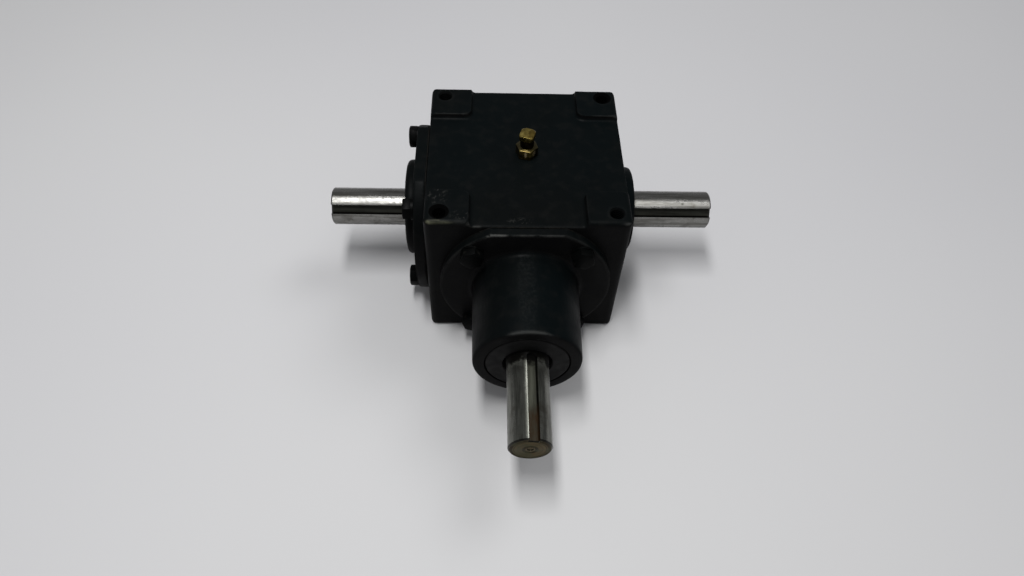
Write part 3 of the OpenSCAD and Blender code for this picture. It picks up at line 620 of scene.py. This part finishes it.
def end_rings(f, direction):
    """Tool rings on a shaft's end face: a share from 0 to 1 that only changes with the radius."""
    rings = f.add("ShaderNodeTexNoise", noise_dimensions="1D")
    for key, value in (("W", off_axis(f, direction)), ("Scale", 0.42 / MM), ("Detail", 2.0)):
        f.feed(rings.inputs[key], value)
    return f.ramp(rings.outputs["Fac"], 0.42, 0.6)


def keyseat_side(f, node, direction):
    """How far across the keyseat a place lies: 0 in its middle, plus towards its lower wall."""
    turn = math.radians(KEY_TURN[node])
    forward = FRONT if direction.x else RIGHT
    across = forward * math.cos(turn) + DOWN * math.sin(turn)
    return f.dot(f.vector("SUBTRACT", f.place, CROSSING), across)


def shaft_masks(f, node, seals):
    """Shares from 0 to 1: sunk surfaces, grime with painted shade by the seals, end chamfers and end
    faces.
    """
    sunk = f.ramp(off_axis(f, SEALS[seals[0]]), SHAFT_R - 0.15 * MM, SHAFT_R - 0.5 * MM)
    length = GRIME_AND_SHADE_REACH[node]
    ragged = f.ramp(f.noise(2.5 * MM, 5, 0.7), 0.3, 0.7, 0.45 * length, length)
    seal_grime_and_shade, ends, faces = 0.0, 0.0, 0.0
    for seal in seals:
        out, end = distance_out(f, SEALS[seal]), reach(node, SEALS[seal])
        beyond = f.minus(f.minus(out, reach(seal, SEALS[seal])), ragged)
        near = f.times(f.ramp(beyond, length * 0.4, -length * 0.4), f.ramp(out, 0.0, MM))
        seal_grime_and_shade = f.most(seal_grime_and_shade, near)
        ends = f.most(ends, f.ramp(out, end - 1.1 * MM, end - 0.9 * MM))
        faces = f.most(faces, f.ramp(out, end - 0.15 * MM, end - 0.05 * MM))
    sunk = f.times(sunk, f.minus(1.0, ends))
    return sunk, seal_grime_and_shade, f.minus(ends, faces), faces


def on_shaft(along, turn):
    """A point on the cross shaft, turned by degrees from straight up towards the front."""
    angle = math.radians(turn)
    return Vector((along, 0, AXIS_Z)) + SHAFT_R * (math.cos(angle) * UP + math.sin(angle) * FRONT)


def rust_end(f, direction, colour, sunk, chamfer, face):
    """Adds rust in the outer end of the keyseat, a browned end face and a black chamfer.

    Gives back the colour, and a share that is 1 where rust or browning covers the steel.
    """
    end, out = reach("input_shaft", direction), distance_out(f, direction)
    ragged = f.times(f.noise(3 * MM, 5, 0.7, (1, 3, 1)), 16 * MM)
    outer = f.ramp(f.math("ADD", out, ragged), end - 18 * MM, end - 8 * MM)
    patches = f.ramp(f.noise(1.6 * MM, 5, 0.7, (1, 5, 1)), 0.3, 0.6, 0.55, 1.0)
    rust = f.times(f.times(sunk, outer), patches)
    colour = f.mix(rust, colour, RUST)
    blotches = f.ramp(f.noise(3 * MM, detail=5, roughness=0.65), 0.4, 0.62, 0.0, 0.7)
    browned = f.mix(blotches, f.mix(end_rings(f, direction), PALE_RING, DARK_RING), END_BLOTCH)
    colour = f.mix(face, colour, browned)
    near_axis = f.ramp(off_axis(f, direction), 2.4 * MM, 2.0 * MM)
    centre = f.times(near_axis, f.ramp(out, end - 7 * MM, end - 6 * MM))
    colour = f.mix(centre, colour, CENTRE_MARK)
    colour = f.mix(f.times(chamfer, 0.85), colour, BLACK_CHAMFER)
    return colour, f.most(rust, face)


def shaft_steel(node, seals, tones, rusty):
    """Turned bar: rings round it, rub marks along it, dull keyseats with a painted shadow along one
    wall, and grime with painted shade by the seals.

    tones are the colours of a clean place, a rubbed place and the floor of a keyseat.
    """
    f = Finish(node + "_steel", metallic=1.0, Specular_IOR_Level=0.08, Anisotropic=0.95)
    f.shader.inputs["Anisotropic Rotation"].default_value = 0.25
    direction = SEALS[seals[0]]
    runs_x = direction.x != 0
    round_shaft = f.add("ShaderNodeTangent", direction_type="RADIAL", axis="X" if runs_x else "Y")
    f.feed(f.shader.inputs["Tangent"], round_shaft.outputs["Tangent"])
    streaks = f.noise(1.6 * MM, 6, 0.72, (14, 1, 1) if runs_x else (1, 14, 1))
    rings = f.noise(0.9 * MM, 2, 0.5, (0.12, 2.5, 2.5) if runs_x else (2.5, 0.12, 2.5))
    stains = f.ramp(f.noise(7 * MM, detail=5, roughness=0.65), 0.55, 0.72, 0.0, 0.7)
    sunk, seal_grime_and_shade, chamfer, face = shaft_masks(f, node, seals)
    colour = f.mix(f.ramp(streaks, 0.40, 0.64), tones[0], tones[1])
    colour = f.mix(stains, colour, STEEL_STAIN)
    across = keyseat_side(f, node, direction)
    # Painted shadow: a near-black line along the lower wall of each keyseat.
    lower_wall_shadow = f.ramp(across, KEY_HALF_W - 1.0 * MM, KEY_HALF_W - 0.4 * MM)
    # The keyseat floor tone; on the cross shaft its darkness is partly painted shade.
    floor = f.mix(f.ramp(streaks, 0.4, 0.6), tones[2], [0.6 * c for c in tones[2]])
    colour = f.mix(sunk, colour, f.mix(lower_wall_shadow, floor, (0.004, 0.004, 0.003)))
    coated = f.times(sunk, 0.5)
    if rusty:
        colour, browned = rust_end(f, direction, colour, sunk, chamfer, face)
        coated = f.most(coated, browned)
    else:
        colour = f.mix(f.times(chamfer, 0.75), colour, DULL_CHAMFER)
        pit = f.zone(on_shaft(*PIT), (1.3 * MM, 1.0 * MM, 1.0 * MM), 0.4)
        colour = f.mix(pit, colour, tones[2])
    # Grime and painted shade: the shaft turns dark brown where it leaves a seal.
    colour = f.mix(seal_grime_and_shade, colour, GRIME_AND_SHADE_BROWN)
    coated = f.most(coated, seal_grime_and_shade)
    rough = f.math("ADD", f.ramp(streaks, 0.3, 0.75, 0.24, 0.35), f.times(coated, 0.35))
    handled = f.ramp(f.noise(1.8 * MM, 5, 0.7), 0.45, 0.66, 0.0, 0.16 if runs_x else 0.08)
    rough = f.math("ADD", rough, f.most(f.times(stains, 0.25), handled))
    normal = f.bump(streaks, 0.11, 0.04 * MM, f.bump(rings, 0.25, 0.03 * MM))
    return f.done(colour, rough, normal, f.minus(1.0, f.times(coated, 0.85)))


# ---- The other finishes ----


def painted_steel(name):
    """Paint brushed over small steel parts, rubbed thin in patches."""
    f = Finish(name, Specular_IOR_Level=0.03)
    rubbed = f.ramp(f.noise(2.5 * MM, detail=4), 0.58, 0.75, 0.0, 0.4)
    colour = f.mix(rubbed, (0.0014, 0.0016, 0.0016), (0.016, 0.015, 0.013))
    rough = f.ramp(f.noise(4 * MM), 0.3, 0.7, 0.36, 0.52)
    return f.done(colour, rough, f.bump(f.noise(0.7 * MM), 0.3, 0.08 * MM))


def brass():
    """Turned brass, tarnished olive in patches, with painted shade under the cap and at the back of
    the hex, and painted highlights on its front.
    """
    f = Finish("brass", metallic=1.0)
    hex_top, cap_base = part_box("quill")[1].z + BREATHER_HEX_H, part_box("breather_cap")[0].z
    low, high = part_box("breather_body")
    middle = (low + high) / 2
    height = distance_out(f, UP)
    below_cap = f.ramp(height, cap_base, cap_base - 0.2 * MM)
    tarnish = f.ramp(f.noise(3 * MM, detail=5, roughness=0.6), 0.38, 0.62)
    colour = f.mix(tarnish, BRASS, TARNISH)
    # Painted shade: below the cap, all but a strip at the front is dark, so only the front looks
    # lit.
    behind = f.ramp(distance_out(f, BACK), middle.y - 4.6 * MM, middle.y - 4.0 * MM)
    colour = f.mix(f.times(f.times(behind, below_cap), 0.85), colour, BRASS_SHADE)
    # Painted shade: a darker band round the top edge of the hex dims its reflection.
    off_rim = f.math("ABSOLUTE", f.minus(height, hex_top))
    colour = f.mix(f.ramp(off_rim, 0.9 * MM, 0.5 * MM, 0.0, 0.55), colour, HEX_RIM_SHADE)
    # Painted shade: the waist under the cap is nearly black.
    waist = f.times(f.ramp(height, hex_top, hex_top + 0.4 * MM), below_cap)
    colour = f.mix(waist, colour, WAIST_SHADE)
    # Painted highlights: pale patches on the front and right of the hex stand for reflections of the
    # pale floor, and are less metallic.
    highlight_z = hex_top - 3 * MM
    front = f.zone((middle.x - 1 * MM, low.y, highlight_z), (1.3 * MM, 3 * MM, 3.4 * MM), 0.2)
    side_place = (middle.x + 4.6 * MM, low.y + 2.5 * MM, highlight_z)
    side = f.zone(side_place, (1.7 * MM, 3 * MM, 3 * MM), 0.4)
    rubbed = f.most(front, f.times(side, 0.5))
    colour = f.mix(rubbed, colour, BRASS_HIGHLIGHT)
    rough = f.ramp(f.noise(2 * MM, detail=3), 0.3, 0.7, 0.24, 0.45)
    turned_rings = f.noise(0.5 * MM, detail=2, stretch=(3, 3, 0.4))
    return f.done(colour, rough, f.bump(turned_rings, 0.2, 0.04 * MM), f.minus(1.0, rubbed))


def seal_rubber():
    """Dusty nitrile, made black over the input shaft as painted shade."""
    f = Finish("seal_rubber", Specular_IOR_Level=0.10)
    dust = f.ramp(f.noise(5 * MM, detail=4), 0.4, 0.75, 0.0, 0.5)
    colour = f.mix(dust, (0.0052, 0.0052, 0.0054), (0.0095, 0.0092, 0.0085))
    over_shaft = Vector((0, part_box("input_seal")[0].y, AXIS_Z + 12 * MM))
    # Painted shade: the seal face just above the shaft is black and rough.
    shade_over_shaft = f.zone(over_shaft, (12 * MM, 6 * MM, 9 * MM), 0.3)
    colour = f.mix(shade_over_shaft, colour, SHADE_AND_GRIME_BLACK)
    rough = f.ramp(f.noise(3 * MM), 0.3, 0.7, 0.5, 0.68)
    rough = f.most(rough, f.times(shade_over_shaft, 0.9))
    return f.done(colour, rough, f.bump(f.noise(0.6 * MM), 0.2, 0.05 * MM))


def plain_metal(name, colour, roughness):
    """Machined steel for the pieces inside: oil film, tool marks and small changes of tone."""
    f = Finish(name, metallic=1.0)
    film = f.ramp(f.noise(6 * MM, detail=4), 0.4, 0.7)
    darker = tuple(0.72 * c for c in colour)
    rough = f.ramp(f.noise(3 * MM), 0.3, 0.7, roughness * 0.75, roughness * 1.25)
    return f.done(f.mix(film, colour, darker), rough, f.bump(f.noise(0.8 * MM), 0.15, 0.03 * MM))


def gasket_fibre():
    """Dark fibre board with pale flecks."""
    f = Finish("gasket_fibre", Specular_IOR_Level=0.1)
    flecks = f.ramp(f.noise(1.2 * MM, detail=5, roughness=0.7), 0.4, 0.65)
    colour = f.mix(flecks, (0.0020, 0.0020, 0.0018), (0.0075, 0.0068, 0.0055))
    return f.done(colour, 0.8, f.bump(f.noise(0.5 * MM), 0.3, 0.05 * MM))


def floor_paint():
    """Pale grey with a slow change of tone."""
    f = Finish("floor_paint", Specular_IOR_Level=0.15)
    tone = f.ramp(f.noise(400 * MM, detail=2), 0.3, 0.7)
    return f.done(f.mix(tone, (0.59, 0.588, 0.602), (0.63, 0.628, 0.632)), 0.7)


# ---- Dressing the model ----


def dress():
    """Gives every CAD node the finish of its slot, and each shaft the one that runs along it.

    Gives back the name of each node's slot.
    """
    finishes = {
        "black_paint": black_paint(),
        "gasket_fibre": gasket_fibre(),
        "painted_fasteners": painted_steel("painted_fasteners"),
        "painted_plugs": painted_steel("painted_plugs"),
        "seal_rubber": seal_rubber(),
        "brass": brass(),
        "spring_steel": plain_metal("spring_steel", (0.55, 0.55, 0.55), 0.3),
        "bearing_steel": plain_metal("bearing_steel", (0.60, 0.61, 0.62), 0.2),
        "cage_steel": plain_metal("cage_steel", (0.42, 0.41, 0.39), 0.42),
        "gear_steel": plain_metal("gear_steel", (0.40, 0.40, 0.40), 0.34),
        "machined_steel": plain_metal("machined_steel", (0.48, 0.48, 0.48), 0.32),
        "blackened_steel": plain_metal("blackened_steel", (0.10, 0.10, 0.11), 0.45),
    }
    shafts = {
        "cross_shaft": shaft_steel("cross_shaft", ("left_seal", "right_seal"), CROSS_TONES, False),
        "input_shaft": shaft_steel("input_shaft", ("input_seal",), INPUT_TONES, True),
    }
    slots = {name: obj.material_slots[0].material.name.split(".")[0] for name, obj in nodes.items()}
    for name, obj in nodes.items():
        obj.material_slots[0].material = shafts.get(name) or finishes[slots[name]]
    return slots


def dress_piece(piece, node):
    """Gives a piece the finish of the node that it stands for."""
    piece.data.materials.clear()
    piece.data.materials.append(nodes[node].material_slots[0].material)


def build_pieces(slots):
    """Rebuilds the castings and the small machined pieces that show."""
    right_bore = seal_bore("right_seal", RIGHT, SHOULDER_R)
    left_bore = seal_bore("left_seal", LEFT, SHOULDER_R)
    cup_low, cup_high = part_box("quill_outer_cup")
    input_bore = seal_bore("input_seal", FRONT, (cup_high.x - cup_low.x) / 2 + BORE_FIT)
    castings = {
        "housing": [right_bore, *mounting_holes(), port("level_plug"), port("drain_plug")],
        "left_cap": [left_bore],
        "quill": [input_bore],
    }
    for node, machined in castings.items():
        dress_piece(casting(node, machined), node)
    for node, edge in BROKEN_EDGE.items():
        dress_piece(machined_copy(node, edge), node)


# ---- Floor, light and camera ----


def pale_floor():
    bm = bmesh.new()
    bmesh.ops.create_grid(bm, x_segments=8, y_segments=8, size=FLOOR_REACH)
    floor = new_object("floor", bm)
    floor.data.materials.append(floor_paint())


def add_light(name, place, aim, size, power):
    """A rectangular panel at place that shines towards aim."""
    light = bpy.data.lights.new(name, "AREA")
    light.shape, light.size, light.size_y, light.energy = "RECTANGLE", size[0], size[1], power
    obj = bpy.data.objects.new(name, light)
    obj.matrix_world = facing(Vector(place) - Vector(aim), place)
    bpy.context.scene.collection.objects.link(obj)
    return obj


def light_scene():
    """A narrow panel overhead, a wide one far behind on the right, and a dim even world.

    The glint is the pale surround of the overhead panel, which only shows as a reflection.
    """
    add_light("overhead", (-0.131, -0.15, 1.05), (-0.131, -0.15, 0), (0.13, 0.55), 6.9)
    glint = add_light("overhead_glint", (-0.131, -0.07, 1.06), (-0.131, -0.07, 0), (0.23, 0.90), 3.8)
    glint.visible_diffuse = False
    behind = add_light("behind", (1.09, 0.80, 1.94), (0, -0.1, 0), (1.0, 1.0), 13.5)
    behind.visible_glossy = False
    world = bpy.data.worlds.new("studio")
    bpy.context.scene.world = world
    world.use_nodes = True
    background = world.node_tree.nodes["Background"]
    background.inputs["Color"].default_value = (0.97, 0.98, 1.0, 1)
    background.inputs["Strength"].default_value = 0.28


def add_camera():
    """The photograph's viewpoint: above the input shaft, looking down over the whole gearbox."""
    pitch, yaw, roll = (math.radians(a) for a in (CAMERA_PITCH, CAMERA_YAW, CAMERA_ROLL))
    level_part = math.cos(pitch)
    forward = Vector((math.sin(yaw) * level_part, math.cos(yaw) * level_part, -math.sin(pitch)))
    level = Vector((math.cos(yaw), -math.sin(yaw), 0))
    above = level.cross(forward)
    x_axis = math.cos(roll) * level + math.sin(roll) * above
    y_axis = -math.sin(roll) * level + math.cos(roll) * above
    camera = bpy.data.cameras.new("camera")
    camera.lens, camera.sensor_width, camera.clip_start = CAMERA_LENS, CAMERA_SENSOR, CAMERA_NEAR
    obj = bpy.data.objects.new("camera", camera)
    turn = Matrix((x_axis, y_axis, -forward)).transposed().to_4x4()
    obj.matrix_world = Matrix.Translation(CAMERA_PLACE) @ turn
    bpy.context.scene.collection.objects.link(obj)
    bpy.context.scene.camera = obj


build_pieces(dress())
pale_floor()
light_scene()
add_camera()
bpy.context.scene.view_settings.view_transform = "Standard"
